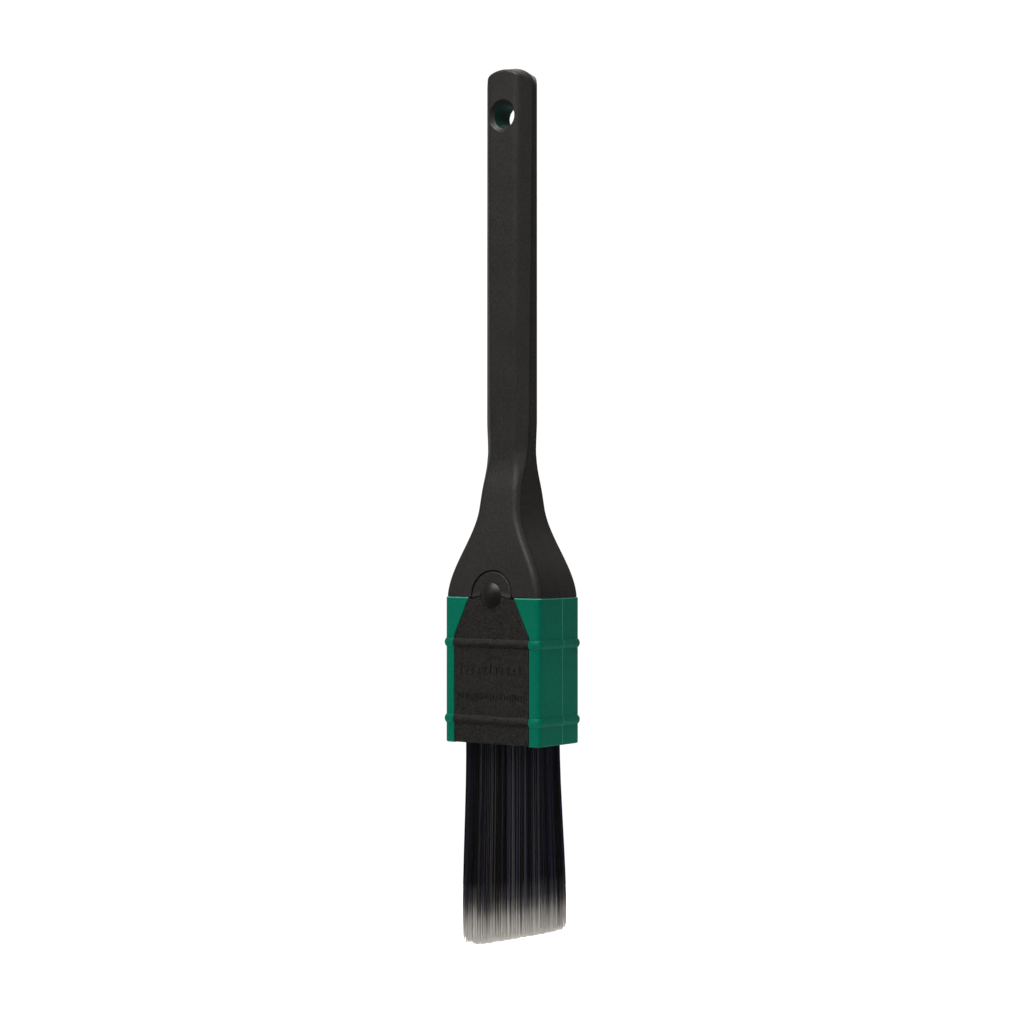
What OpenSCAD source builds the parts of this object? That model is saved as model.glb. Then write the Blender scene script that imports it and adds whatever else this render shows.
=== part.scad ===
// Cutting-in paint brush whose bristle head clips onto the handle.
// The origin is the centre of the hanging hole. +Z runs up the handle, X is across
// the width of the brush, and its front, with the release button, faces -Y.

/* [Handle] */
// Height of the handle above the centre of the hanging hole
handle_top = 16.2; // [14:0.1:20]
// Length from the hanging hole down to the shoulder that the head sits against
handle_length = 164; // [160:1:180]
// Length from the hanging hole down to the end of the straight grip
grip_length = 114.5; // [100:0.5:116]
// Length of the blend between the straight grip and the neck
waist_length = 2.8; // [2.4:0.1:6]
// Radius of the rounded corners at the top of the handle
top_radius = 7.2; // [4:0.1:8]
// Width of the handle at the hanging hole
grip_top_width = 19.5; // [18:0.1:22]
// Depth of the handle at the hanging hole
grip_top_depth = 11.5; // [11:0.1:13]
// Width of the handle at the lower end of the straight grip
grip_low_width = 18.1; // [17:0.1:20]
// Depth of the handle at the lower end of the straight grip
grip_low_depth = 11; // [10.5:0.1:12]
// Width of the neck
neck_width = 15.2; // [14:0.1:16]
// Depth of the neck
neck_depth = 12; // [11:0.1:13]
// Thickness of the black grip shells over the green core
grip_wall = 1.45; // [1.2:0.05:1.6]
// Radius of the hanging hole through the core
hole_radius = 4.2; // [3:0.1:4.5]
// Radius of the hanging hole's countersink at the face of the grip
sink_radius = 5.35; // [5:0.05:5.7]

/* [Head] */
// Width of the ferrule
ferrule_width = 40.5; // [40:0.1:42]
// Depth of the ferrule
ferrule_depth = 23.8; // [23.6:0.1:25]
// Height of the ferrule
ferrule_height = 49.8; // [48:0.1:56]
// Radius of the ferrule's upright corners
ferrule_radius = 2.3; // [2:0.1:3]
// Thickness of the ferrule's outer wall and of the front plate
ferrule_wall = 1.8; // [1.6:0.1:2]
// Distance from the top of the ferrule to the middle of the upper rib
upper_rib_drop = 15.6; // [15.2:0.1:17]
// Distance from the top of the ferrule to the middle of the lower rib
lower_rib_drop = 41.7; // [40:0.1:44]
// Height of each rib
rib_height = 3; // [2.4:0.1:3.4]
// Distance that each rib stands proud
rib_proud = 0.65; // [0.4:0.05:0.8]

/* [Front plate] */
// Width of the front plate
plate_width = 31.6; // [30:0.1:32]
// Angle of the plate's taper from upright
taper_angle = 25.7; // [24:0.1:27]
// Radius of the plate's round upper end
tongue_radius = 8.25; // [8:0.05:8.6]
// Angle that the plate's upper end leans back above the ferrule
tongue_lean = 5.8; // [4:0.1:6]
// Clearance between the plate's upper end and the recess in the handle
tongue_gap = 0.35; // [0.25:0.05:0.5]

/* [Release button] */
// Height of the button's axis above the top of the ferrule
button_rise = 0.6; // [0:0.1:1]
// Radius of the domed button
button_radius = 4.4; // [4:0.1:4.6]
// Height of the dome itself
dome_height = 2; // [1.6:0.1:2.4]
// Travel of the button
button_travel = 1.3; // [1.1:0.1:1.4]

/* [Bristles] */
// Length of the longest bristles below the ferrule
bristle_length = 70; // [50:1:80]
// Width of the bristle pack where it leaves the ferrule
bristle_width = 31.2; // [28:0.1:32]
// Depth of the bristle pack where it leaves the ferrule
bristle_depth = 13; // [10:0.1:13.4]
// How much shorter the bristles are on the short side of the angled cut
bristle_angle_drop = 6.3; // [0:0.1:14]

/* [Hidden] */
$fn = 64;

grip_black = [0.12, 0.115, 0.11];
plate_black = [0.09, 0.09, 0.088];
green = [0.01, 0.38, 0.3];
steel = [0.72, 0.73, 0.75];
filament = [0.1, 0.1, 0.14];

big = 100;      // reach of cutting blocks past the brush
ring_step = 2;  // spacing of the handle's sections along the curved neck
waist_rings = 4;
draw_rings = 5;

// Heights along the brush
shoulder_z = -handle_length;
grip_end_z = -grip_length;
neck_z = grip_end_z - waist_length;
ferrule_bottom_z = shoulder_z - ferrule_height;
upper_rib_z = shoulder_z - upper_rib_drop;
lower_rib_z = shoulder_z - lower_rib_drop;
button_z = shoulder_z + button_rise;

// Corner cuts of the handle's eight-sided section, as [across, deep]
top_cut = [3.8, 4.5];
low_cut = [3.8, 3.2];
neck_cut = [1.5, 1.9];

// The neck's flare: a steady spread plus a rounded shoulder
flare_spread = 7.4;
flare_start = 0.35;
flare_end = 0.98;
flare_depth_bow = 5;

// The grip draws in slightly over a short length above the waist
draw_in = 0.4;
draw_length = 11;

// Radius of a rib's rounded profile
rib_radius = (rib_height * rib_height / 4 + rib_proud * rib_proud) / (2 * rib_proud);

// Inside of the ferrule
socket_width = ferrule_width - 2 * ferrule_wall;
socket_depth = ferrule_depth - 2 * ferrule_wall;
floor_z = ferrule_bottom_z + 2;
collar_wall = 1.5;
collar_top_z = ferrule_bottom_z + 24;
epoxy_depth = 3;
root_z = collar_top_z - epoxy_depth;

// Spigot of the core inside the ferrule
spigot_side_gap = 0.25;
spigot_face_gap = 0.3;
spigot_length = 14.5;
spigot_bottom_z = shoulder_z - spigot_length;

// Positions across the depth at the button, front to back
front_y = -ferrule_depth / 2;
plate_back_y = front_y + ferrule_wall;
lip_y = front_y + 1;
boss_back_y = front_y + 3.7;
retainer_front_y = boss_back_y - 0.5;
channel_y = boss_back_y + 0.3;
tongue_floor_y = plate_back_y + 1.3;
stub_y = boss_back_y - button_travel;
clip_front_y = boss_back_y + 0.7;
clip_pocket_y = front_y + 8.7;
boss_radius = 6.2;
flange_radius = 5.15;
flange_bore = 5.3;
button_gap = 0.1;
clip_thickness = 0.6;
clip_width = 5;
clip_depth = 4.2;
pin_radius = 2.4;
plate_gap = 0.15;
plate_foot_z = ferrule_bottom_z + 0.2;

// Bristle tips
long_tip_z = ferrule_bottom_z - bristle_length;
short_tip_z = long_tip_z + bristle_angle_drop;
belly_z = ferrule_bottom_z - 54;
bristle_lean = 0.6;
bristle_flare = 1.1;
tip_half_depth = 4.6;

function mix(a, b, t) = a + (b - a) * t;
function smooth(t) = t <= 0 ? 0 : t >= 1 ? 1 : t * t * (3 - 2 * t);
function cut_section(width, depth, cut) = [width / 2, depth / 2, cut[0], cut[1]];

// Each section is [half width, half depth, corner cut across, corner cut deep].
function grip_section(z) =
    mix(cut_section(grip_low_width, grip_low_depth, low_cut),
        cut_section(grip_top_width, grip_top_depth, top_cut),
        (z - grip_end_z) / grip_length)
    - [draw_in * smooth((grip_end_z + draw_length - z) / draw_length), 0, 0, 0];

// t runs from 0 at the neck to 1 at the shoulder.
function flare_section(t) =
    let (spread = ferrule_width / 2 - neck_width / 2 - flare_spread / 2,
         deepen = ferrule_depth / 2 - neck_depth / 2,
         shoulder = smooth((t - flare_start) / (flare_end - flare_start)))
    [neck_width / 2 + flare_spread / 2 * t + spread * shoulder,
     neck_depth / 2 + deepen * t + flare_depth_bow / 2 * t * (1 - t),
     neck_cut[0], neck_cut[1]];

function section(z) =
    z >= grip_end_z ? grip_section(z) :
    z > neck_z ? mix(grip_section(grip_end_z), flare_section(0),
                     smooth((grip_end_z - z) / waist_length)) :
    flare_section((neck_z - z) / (neck_z - shoulder_z));

function handle_ring(z, wall) =
    let (s = section(z),
         half_w = s[0] - wall,
         half_d = s[1] - wall,
         cut_x = s[2] - 0.4 * wall,
         cut_y = s[3] - 0.4 * wall)
    [[half_w - cut_x, -half_d, z], [half_w, cut_y - half_d, z],
     [half_w, half_d - cut_y, z], [half_w - cut_x, half_d, z],
     [cut_x - half_w, half_d, z], [-half_w, half_d - cut_y, z],
     [-half_w, cut_y - half_d, z], [cut_x - half_w, -half_d, z]];

// Heights of the handle's sections, from the shoulder up to the top.
function handle_heights(wall) = concat(
    [for (z = [shoulder_z : ring_step : neck_z - 0.5 * ring_step]) z],
    [for (k = [0 : waist_rings]) mix(neck_z, grip_end_z, k / waist_rings)],
    [for (k = [1 : draw_rings]) grip_end_z + draw_length * k / draw_rings],
    [handle_top - wall]);

module loft(rings) {
    sides = len(rings[0]);
    last = len(rings) - 1;
    polyhedron(
        points = [for (ring = rings) each ring],
        faces = concat(
            [[for (k = [0 : sides - 1]) k]],
            [for (r = [0 : last - 1], k = [0 : sides - 1])
                let (a = r * sides + k, b = r * sides + (k + 1) % sides)
                [a, a + sides, b + sides, b]],
            [[for (k = [sides - 1 : -1 : 0]) last * sides + k]]),
        convexity = 6);
}

// The handle's eight-sided form with round top corners, drawn in by a wall.
module handle_form(wall) {
    top_z = handle_top - wall;
    radius = top_radius - wall;
    corner_x = section(handle_top)[0] - wall - radius;
    intersection() {
        loft([for (z = handle_heights(wall)) handle_ring(z, wall)]);
        along_depth(-big, big) {
            translate([-big, -3 * big])
                square([2 * big, 3 * big + top_z - radius]);
            translate([-corner_x, top_z - radius - 1])
                square([2 * corner_x, radius + 1]);
            for (x = [-corner_x, corner_x])
                translate([x, top_z - radius])
                    circle(r = radius);
        }
    }
}

// A block of the given width and depth, centred on the axis, between two heights.
module block(width, depth, low_z, high_z) {
    translate([-width / 2, -depth / 2, low_z])
        cube([width, depth, high_z - low_z]);
}

// A cylinder that runs along the depth between two positions, at the button's height.
module button_disc(radius, from_y, to_y) {
    translate([0, to_y, button_z])
        rotate([90, 0, 0])
            cylinder(r = radius, h = to_y - from_y);
}

// Extrudes an outline drawn in X and Z along the depth.
module along_depth(from_y, to_y) {
    translate([0, to_y, 0])
        rotate([90, 0, 0])
            linear_extrude(height = to_y - from_y)
                children();
}

// Extrudes an outline drawn in Y and Z across the width.
module across_width(width) {
    translate([-width / 2, 0, 0])
        rotate([90, 0, 90])
            linear_extrude(height = width)
                children();
}

module rounded_rect(width, depth, radius) {
    square([width - 2 * radius, depth], center = true);
    square([width, depth - 2 * radius], center = true);
    for (x = [-1, 1], y = [-1, 1])
        translate([x * (width / 2 - radius), y * (depth / 2 - radius)])
            circle(r = radius);
}

// Outline of the front plate, grown by a gap: upright sides, a taper, and a round top.
module plate_outline(gap, low_z) {
    radius = tongue_radius + gap;
    half = plate_width / 2 + gap;
    tangent = [radius * cos(taper_angle), button_z + radius * sin(taper_angle)];
    taper_z = tangent[1] - (half - tangent[0]) / tan(taper_angle);
    polygon(concat(
        [[-half, low_z], [half, low_z], [half, taper_z]],
        [for (a = [taper_angle : (90 - taper_angle) / 8 : 90.01])
            [radius * cos(a), button_z + radius * sin(a)]],
        [for (a = [90 + (90 - taper_angle) / 8 : (90 - taper_angle) / 8 : 180.01 - taper_angle])
            [radius * cos(a), button_z + radius * sin(a)]],
        [[-half, taper_z]]));
}

// Straight bars that form the front and rear stretches of a rib.
module rib_bars(z, length, depth) {
    for (y = [-1, 1])
        translate([0, y * (depth / 2 - rib_radius + rib_proud), z])
            rotate([0, 90, 0])
                cylinder(r = rib_radius, h = length, center = true);
}

// One raised rib round a rounded rectangle.
module rib(z, width, depth, radius) {
    inset = rib_radius - rib_proud;
    rib_bars(z, width - 2 * radius, depth);
    rotate([0, 0, 90])
        rib_bars(z, depth - 2 * radius, width);
    for (x = [-1, 1], y = [-1, 1])
        translate([x * (width / 2 - radius), y * (depth / 2 - radius), z])
            rotate_extrude()
                intersection() {
                    translate([radius - inset, 0])
                        circle(r = rib_radius);
                    translate([0, -rib_radius])
                        square([2 * rib_radius, 2 * rib_radius]);
                }
}

// Space that the front plate's upper end and its boss need in the handle.
module tongue_space() {
    along_depth(-big, tongue_floor_y)
        plate_outline(tongue_gap, shoulder_z - spigot_length - 1);
    button_disc(boss_radius + 0.4, -big, channel_y);
}

module core_bulk() {
    difference() {
        handle_form(grip_wall);
        intersection() {
            tongue_space();
            block(big, big, shoulder_z - 1, 0);
        }
    }
}

module handle_core() {
    spigot_half_w = socket_width / 2 - spigot_side_gap;
    pocket_w = 9.5;
    color(green)
    difference() {
        union() {
            core_bulk();
            difference() {
                block(2 * spigot_half_w, socket_depth - 2 * spigot_face_gap,
                      spigot_bottom_z, shoulder_z);
                for (x = [-1, 1])
                    translate([x * (spigot_half_w - 2 - pocket_w / 2), 0, 0])
                        block(pocket_w, socket_depth - 6, spigot_bottom_z - 1, shoulder_z - 2);
            }
        }
        // channel that the plate's boss slides along
        translate([-boss_radius - 0.4, -big, spigot_bottom_z - 1])
            cube([2 * boss_radius + 0.8, big + channel_y, button_z - spigot_bottom_z + 1]);
        // relief that the plate's leaning upper end slides along
        translate([-tongue_radius - tongue_gap, -big, spigot_bottom_z - 1])
            cube([2 * (tongue_radius + tongue_gap), big + tongue_floor_y, spigot_length + 1.5]);
        // pocket of the snap clip
        translate([-clip_width / 2 - 0.3, channel_y - 1, spigot_bottom_z + 1])
            cube([clip_width + 0.6, clip_pocket_y - channel_y + 1, button_z - spigot_bottom_z + 4]);
        rotate([90, 0, 0])
            cylinder(r = hole_radius, h = big, center = true);
    }
}

// Half of the grip, on the side of the parting plane that side points to.
module grip_half(side) {
    core_half_depth = grip_top_depth / 2 - grip_wall;
    difference() {
        handle_form(0);
        handle_form(grip_wall);
        translate([-big / 2, side > 0 ? -big : 0, -2 * big])
            cube([big, big, 3 * big]);
        for (y = [-1, 1])
            translate([0, y * core_half_depth, 0])
                rotate([-90 * y, 0, 0])
                    cylinder(r1 = hole_radius, r2 = sink_radius, h = grip_wall);
        rotate([90, 0, 0])
            cylinder(r = hole_radius, h = big, center = true);
        children();
    }
}

module grip_front() {
    color(grip_black)
    grip_half(-1)
        tongue_space();
}

module grip_rear() {
    color(grip_black)
    grip_half(1);
}

// Bent spring strip with a pin that snaps into the back of the front plate.
module snap_clip() {
    bend_z = spigot_bottom_z + 1.3 + clip_depth / 2;
    front_top_z = button_z + pin_radius + 0.8;
    color(steel)
    union() {
        translate([-clip_width / 2, clip_front_y, bend_z])
            cube([clip_width, clip_thickness, front_top_z - bend_z]);
        translate([-clip_width / 2, clip_front_y + clip_depth - clip_thickness, bend_z])
            cube([clip_width, clip_thickness, button_z - bend_z]);
        translate([0, clip_front_y + clip_depth / 2, bend_z])
            rotate([0, 90, 0])
                difference() {
                    cylinder(r = clip_depth / 2, h = clip_width, center = true);
                    cylinder(r = clip_depth / 2 - clip_thickness, h = 2 * clip_width, center = true);
                    translate([-big, -big / 2, -big / 2])
                        cube([big, big, big]);
                }
        button_disc(pin_radius, stub_y + 0.7, clip_front_y);
        button_disc(pin_radius - 0.7, stub_y + 0.02, clip_front_y);
    }
}

module ferrule() {
    throat_w = bristle_width;
    throat_d = bristle_depth;
    color(green)
    difference() {
        union() {
            translate([0, 0, ferrule_bottom_z])
                linear_extrude(height = ferrule_height)
                    rounded_rect(ferrule_width, ferrule_depth, ferrule_radius);
            rib(upper_rib_z, ferrule_width, ferrule_depth, ferrule_radius);
            rib(lower_rib_z, ferrule_width, ferrule_depth, ferrule_radius);
        }
        difference() {
            block(socket_width, socket_depth, floor_z, shoulder_z + 1);
            block(throat_w + 2 * collar_wall, throat_d + 2 * collar_wall, floor_z - 1, collar_top_z);
        }
        block(throat_w, throat_d, ferrule_bottom_z - 1, collar_top_z + 1);
        along_depth(-big, plate_back_y)
            plate_outline(plate_gap, ferrule_bottom_z - 1);
    }
}

// Outline of the front plate from the side: upright, then leaning back above the ferrule.
module plate_side() {
    crease_z = shoulder_z - 0.3;
    top_z = button_z + tongue_radius + 1;
    lean = (top_z - crease_z) * tan(tongue_lean);
    polygon([[front_y, plate_foot_z], [front_y, crease_z], [front_y + lean, top_z],
             [plate_back_y + lean, top_z], [plate_back_y, crease_z],
             [plate_back_y, plate_foot_z]]);
}

module front_plate() {
    flange_width = plate_width + 3;
    color(plate_black)
    difference() {
        union() {
            intersection() {
                across_width(plate_width)
                    plate_side();
                along_depth(-big, 0)
                    plate_outline(0, plate_foot_z);
            }
            for (z = [upper_rib_z, lower_rib_z])
                intersection() {
                    rib_bars(z, plate_width, ferrule_depth);
                    translate([-big / 2, front_y - rib_proud, -3 * big])
                        cube([big, rib_proud + ferrule_wall, 3 * big]);
                }
            button_disc(boss_radius, lip_y, boss_back_y);
            translate([-flange_width / 2, plate_back_y, floor_z + 0.2])
                cube([flange_width, 1, spigot_bottom_z - 2 - floor_z]);
        }
        button_disc(button_radius + button_gap, -big, lip_y + 1);
        button_disc(flange_bore, lip_y, boss_back_y + 1);
    }
}

module release_button() {
    base_y = lip_y - 0.4;
    dome_radius = (button_radius * button_radius + dome_height * dome_height)
        / (2 * dome_height);
    flange_thickness = retainer_front_y - button_travel - lip_y;
    color(plate_black)
    union() {
        intersection() {
            translate([0, base_y - dome_height + dome_radius, button_z])
                rotate([90, 0, 0])
                    sphere(r = dome_radius);
            button_disc(button_radius, base_y - 2 * dome_height, base_y);
        }
        button_disc(button_radius, base_y, lip_y + flange_thickness);
        button_disc(flange_radius, lip_y, lip_y + flange_thickness);
        button_disc(pin_radius + 0.5, lip_y, stub_y);
    }
}

// Ring that keeps the button in the back of the front plate.
module button_retainer() {
    color(steel)
    difference() {
        button_disc(flange_bore, retainer_front_y, boss_back_y);
        button_disc(pin_radius + 0.8, -big, big);
    }
}

module bristles() {
    half_w = bristle_width / 2;
    half_d = bristle_depth / 2;
    color(filament)
    difference() {
        intersection() {
            along_depth(-big, big)
                polygon([[-half_w, root_z], [-half_w, ferrule_bottom_z],
                         [bristle_lean - half_w - bristle_flare, belly_z],
                         [bristle_lean - half_w - bristle_flare, long_tip_z + 1],
                         [bristle_lean - half_w / 2, long_tip_z],
                         [bristle_lean + half_w + bristle_flare, short_tip_z],
                         [bristle_lean + half_w + bristle_flare, belly_z],
                         [half_w, ferrule_bottom_z], [half_w, root_z]]);
            across_width(2 * big)
                polygon([[-half_d, root_z], [-half_d, ferrule_bottom_z],
                         [-half_d - bristle_flare, belly_z], [-tip_half_depth, long_tip_z],
                         [tip_half_depth, long_tip_z], [half_d + bristle_flare, belly_z],
                         [half_d, ferrule_bottom_z], [half_d, root_z]]);
        }
        spacer_block();
    }
}

module spacer_block() {
    block(bristle_width - 7, bristle_depth / 3, root_z - 15, root_z);
}

// Block in the heart of the bristle roots that leaves room for paint.
module bristle_spacer() {
    color("burlywood")
    spacer_block();
}

// Resin that binds the bristle roots inside the ferrule's collar.
module epoxy_set() {
    color("tan")
    block(bristle_width, bristle_depth, root_z, collar_top_z);
}

handle_core();
grip_front();
grip_rear();
snap_clip();
ferrule();
front_plate();
release_button();
button_retainer();
bristles();
bristle_spacer();
epoxy_set();
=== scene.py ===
"""Looks of a cutting-in paint brush whose bristle head clips onto its handle.

Shapes are worked out in millimetres in the row frame: the origin is the centre of the
hanging hole, +Z runs up the handle, X is across the brush, and its front faces -Y.
"""

import math
from contextlib import contextmanager

import bmesh
import bpy
import numpy as np
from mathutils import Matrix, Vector


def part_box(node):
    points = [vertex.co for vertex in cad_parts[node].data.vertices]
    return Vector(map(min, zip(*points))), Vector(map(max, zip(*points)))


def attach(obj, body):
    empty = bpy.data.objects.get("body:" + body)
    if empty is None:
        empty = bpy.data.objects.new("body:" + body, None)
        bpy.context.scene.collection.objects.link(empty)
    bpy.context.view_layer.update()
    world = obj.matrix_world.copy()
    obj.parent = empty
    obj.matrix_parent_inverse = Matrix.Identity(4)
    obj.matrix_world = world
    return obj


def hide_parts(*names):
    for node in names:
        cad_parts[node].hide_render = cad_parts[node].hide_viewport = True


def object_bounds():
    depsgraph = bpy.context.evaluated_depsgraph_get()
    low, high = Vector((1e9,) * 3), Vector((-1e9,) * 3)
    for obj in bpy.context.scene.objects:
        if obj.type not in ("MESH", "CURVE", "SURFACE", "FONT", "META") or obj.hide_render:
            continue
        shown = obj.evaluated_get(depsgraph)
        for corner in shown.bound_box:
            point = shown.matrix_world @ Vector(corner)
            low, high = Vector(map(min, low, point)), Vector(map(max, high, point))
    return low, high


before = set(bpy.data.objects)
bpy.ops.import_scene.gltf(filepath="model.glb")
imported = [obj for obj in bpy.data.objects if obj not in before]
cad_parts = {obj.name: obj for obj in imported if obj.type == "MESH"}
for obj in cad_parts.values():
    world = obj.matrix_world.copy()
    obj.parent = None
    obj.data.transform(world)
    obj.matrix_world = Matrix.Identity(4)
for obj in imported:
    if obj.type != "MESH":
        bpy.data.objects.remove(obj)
cad_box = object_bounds()

MM = 0.001
SEED = 11
SMOOTH_ANGLE = 35


def span(node):
    """Lowest and highest corner of a CAD node, in millimetres."""
    low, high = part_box(node)
    return np.array(low) / MM, np.array(high) / MM


# --- sizes from the frame

(_, _, PLATE_FOOT_Z), (FLANGE_HALF_W, _, _) = span("front_plate")
(_, _, SPACER_BOTTOM_Z), (SPACER_HALF_W, SPACER_HALF_D, _) = span("bristle_spacer")
(_, _, EPOXY_BOTTOM_Z), (THROAT_HALF_W, THROAT_HALF_D, COLLAR_TOP_Z) = span("epoxy_set")
(_, BUTTON_APEX_Y, BUTTON_LOW_Z), (_, STUB_Y, BUTTON_HIGH_Z) = span("release_button")
RETAINER_FRONT_Y = span("button_retainer")[0][1]
CORE_TOP_Z = span("handle_core")[1][2]
LONG_TIP_Z = span("bristles")[0][2]
SHOULDER_Z = span("grip_rear")[0][2]
RIB_PROUD = 0.65
(_, _, FERRULE_BOTTOM_Z), (rib_half_w, rib_half_d, FERRULE_TOP_Z) = span("ferrule")
FERRULE_HALF_W, FERRULE_HALF_D = rib_half_w - RIB_PROUD, rib_half_d - RIB_PROUD
FRONT_Y = -FERRULE_HALF_D
BUTTON_Z = (BUTTON_LOW_Z + BUTTON_HIGH_Z) / 2

# --- the handle's form

HOLE_RADIUS = 4.2
ROUND_START_Z = 8.8
MIDDLE_RISE = 7.8
MIDDLE_POWER = 2.12
FRONT_RISE = 6.9
FRONT_POWER = 1.9
GRIP_END_Z = -114.5
WAIST_LENGTH = 2.8
NECK_Z = GRIP_END_Z - WAIST_LENGTH
GRIP_TOP = np.array([9.75, 5.75, 3.8, 4.5])
GRIP_BASE = np.array([9.05, 5.5, 3.8, 3.2])
NECK = np.array([7.6, 6.0, 1.5, 1.9])
DRAW_IN = 0.4
DRAW_LENGTH = 11
FLARE_SPREAD = 7.4
FLARE_START = 0.35
FLARE_END = 0.98
FLARE_BOW = 5
FLARE_EASE = 1.6
GRIP_WALL = 1.45
CAVITY_CLEARANCE = 0.03
CORE_TOP_RADIUS = 5.75
SINK_RADIUS = 5.35

FACE_ROUND = 3.0
FACE_ROUND_LOW = 2.8
SIDE_ROUND = 0.9
SIDE_ROUND_LOW = 1.8
TOP_EDGE_ROUND = 0.9
FOOT_CHAMFER = 0.25
SEAM = 0.03
SEAM_OPEN = 0.3
SEAM_OPEN_LENGTH = 6.5
SEAM_FADE = 0.8
PARTING_Y = -0.004
TOP_RINGS = 40
LAST_TOP_SHARE = 0.012
TOP_SLOPE = 0.8
SIDE_WALL_SHARE = 0.9985
INNER_CUT_WALL = 0.4
SIDE_DRAFT = 0.12
CUT_FADE_ABOVE = 3.0
CUT_FADE_LENGTH = 15.0
CUT_FADE_WIDENING = 0.95
DEEPENING_LENGTH = 17.0

# --- the front plate

PLATE_HALF_W = 15.8
TAPER = math.radians(25.7)
TONGUE_RADIUS = 8.25
TONGUE_LEAN = math.radians(5.8)
TONGUE_GAP = 0.35
WINDOW_GAP = 0.15
PLATE_THICK = 1.8
CREASE_Z = SHOULDER_Z - 0.3
TONGUE_FLOOR_Y = FRONT_Y + PLATE_THICK + 1.3
BOSS_SPACE_RADIUS = 6.6
BOSS_SPACE_Y = FRONT_Y + 4.0

RIB_HEIGHT = 3.0
UPPER_RIB_Z = SHOULDER_Z - 15.6
LOWER_RIB_Z = SHOULDER_Z - 41.7


def mix(a, b, t):
    """From a to b as t goes from 0 to 1."""
    return a + (b - a) * t


def smooth(t):
    """An eased step from 0 to 1."""
    t = min(max(t, 0.0), 1.0)
    return t * t * (3 - 2 * t)


def steps(start, end, step):
    """Evenly spaced values from start to end, no further apart than step."""
    count = max(1, math.ceil(abs(end - start) / step))
    return [mix(start, end, k / count) for k in range(count + 1)]


def joined(*runs):
    """Runs of heights as one list without repeats."""
    kept = []
    for value in (v for run in runs for v in run):
        if not kept or abs(value - kept[-1]) > 1e-6:
            kept.append(value)
    return kept


def mirrored(half):
    """Points of a right-hand half, and then their mirror images in reverse order."""
    return half + [(-x, *rest) for x, *rest in reversed(half)]


# --- mesh building


def add_object(name, data):
    obj = bpy.data.objects.new(name, data)
    bpy.context.scene.collection.objects.link(obj)
    return obj


def make_object(name, points, faces):
    """A mesh object from points in millimetres."""
    mesh = bpy.data.meshes.new(name)
    mesh.from_pydata((np.asarray(points, float) * MM).tolist(), [], faces)
    mesh.validate()
    obj = add_object(name, mesh)
    shade(obj, SMOOTH_ANGLE)
    return obj


@contextmanager
def editing(mesh):
    """A mesh's editable copy, which is written back at the end."""
    bm = bmesh.new()
    bm.from_mesh(mesh)
    yield bm
    bm.to_mesh(mesh)
    bm.free()


def shade(obj, smooth_angle):
    """Smooth shading that keeps edges sharper than the angle."""
    limit = math.radians(smooth_angle)
    with editing(obj.data) as bm:
        for edge in bm.edges:
            edge.smooth = len(edge.link_faces) == 2 and edge.calc_face_angle(math.pi) < limit
        for face in bm.faces:
            face.smooth = True


def flip_outwards(obj):
    """Turns every face of a closed mesh to face outwards."""
    with editing(obj.data) as bm:
        bmesh.ops.recalc_face_normals(bm, faces=bm.faces)


def loft_faces(rings, sides, closed=False):
    """Quads between rings of equal length, with flat ends unless the loft is closed."""
    faces = []
    for r in range(rings if closed else rings - 1):
        low, high = r * sides, (r + 1) % rings * sides
        for k in range(sides):
            after = (k + 1) % sides
            faces.append((low + k, low + after, high + after, high + k))
    if not closed:
        faces.append(tuple(range(sides - 1, -1, -1)))
        faces.append(tuple(range((rings - 1) * sides, rings * sides)))
    return faces


def loft(name, rings, closed=False, smooth_angle=SMOOTH_ANGLE):
    points = np.concatenate([np.asarray(r, float) for r in rings])
    obj = make_object(name, points, loft_faces(len(rings), len(rings[0]), closed))
    flip_outwards(obj)
    shade(obj, smooth_angle)
    return obj


def lathe(name, profile, centre_z=0.0, sides=96):
    """A solid turned about the Y axis at a height, from (radius, y) points."""
    turns = np.linspace(0, 2 * math.pi, sides, endpoint=False)
    rings = [[(radius * math.cos(a), y, centre_z + radius * math.sin(a)) for a in turns]
             for radius, y in profile]
    return loft(name, rings)


def combine(obj, others, operation):
    """Joins other objects to an object, or cuts them out of it, and removes them."""
    for other in others:
        modifier = obj.modifiers.new("combine", "BOOLEAN")
        modifier.operation = operation
        modifier.solver = "EXACT"
        modifier.object = other
        bpy.context.view_layer.update()
        graph = bpy.context.evaluated_depsgraph_get()
        mesh = bpy.data.meshes.new_from_object(obj.evaluated_get(graph))
        obj.modifiers.clear()
        mesh.name = obj.name
        obj.data = mesh
        bpy.data.objects.remove(other)


def carve(obj, cutters, smooth_angle=SMOOTH_ANGLE):
    combine(obj, cutters, "DIFFERENCE")
    shade(obj, smooth_angle)


def even_normals(obj):
    """Face-area weighted normals, so that large flats stay flat beside round corners."""
    modifier = obj.modifiers.new("even_normals", "WEIGHTED_NORMAL")
    modifier.keep_sharp = True
    modifier.weight = 80


def corner_arc(before, corner, after, radius, segments):
    """An arc in place of a corner, given the corners on both sides of it."""
    here = np.array(corner, float)
    to_before, to_after = np.array(before, float) - here, np.array(after, float) - here
    len_before, len_after = np.linalg.norm(to_before), np.linalg.norm(to_after)
    to_before, to_after = to_before / len_before, to_after / len_after
    half = math.acos(np.clip(to_before @ to_after, -1, 1)) / 2
    back_off = min(radius / math.tan(half), 0.48 * len_before, 0.48 * len_after)
    start, end = here + to_before * back_off, here + to_after * back_off
    return [(1 - t) ** 2 * start + 2 * t * (1 - t) * here + t * t * end
            for t in np.linspace(0, 1, segments + 1)]


def round_corners(corners, radii, segments=7):
    """A closed outline whose corners are replaced by arcs of the given radii."""
    outline = []
    for k, corner in enumerate(corners):
        after = corners[(k + 1) % len(corners)]
        outline += corner_arc(corners[k - 1], corner, after, radii[k], segments)
    return outline


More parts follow.
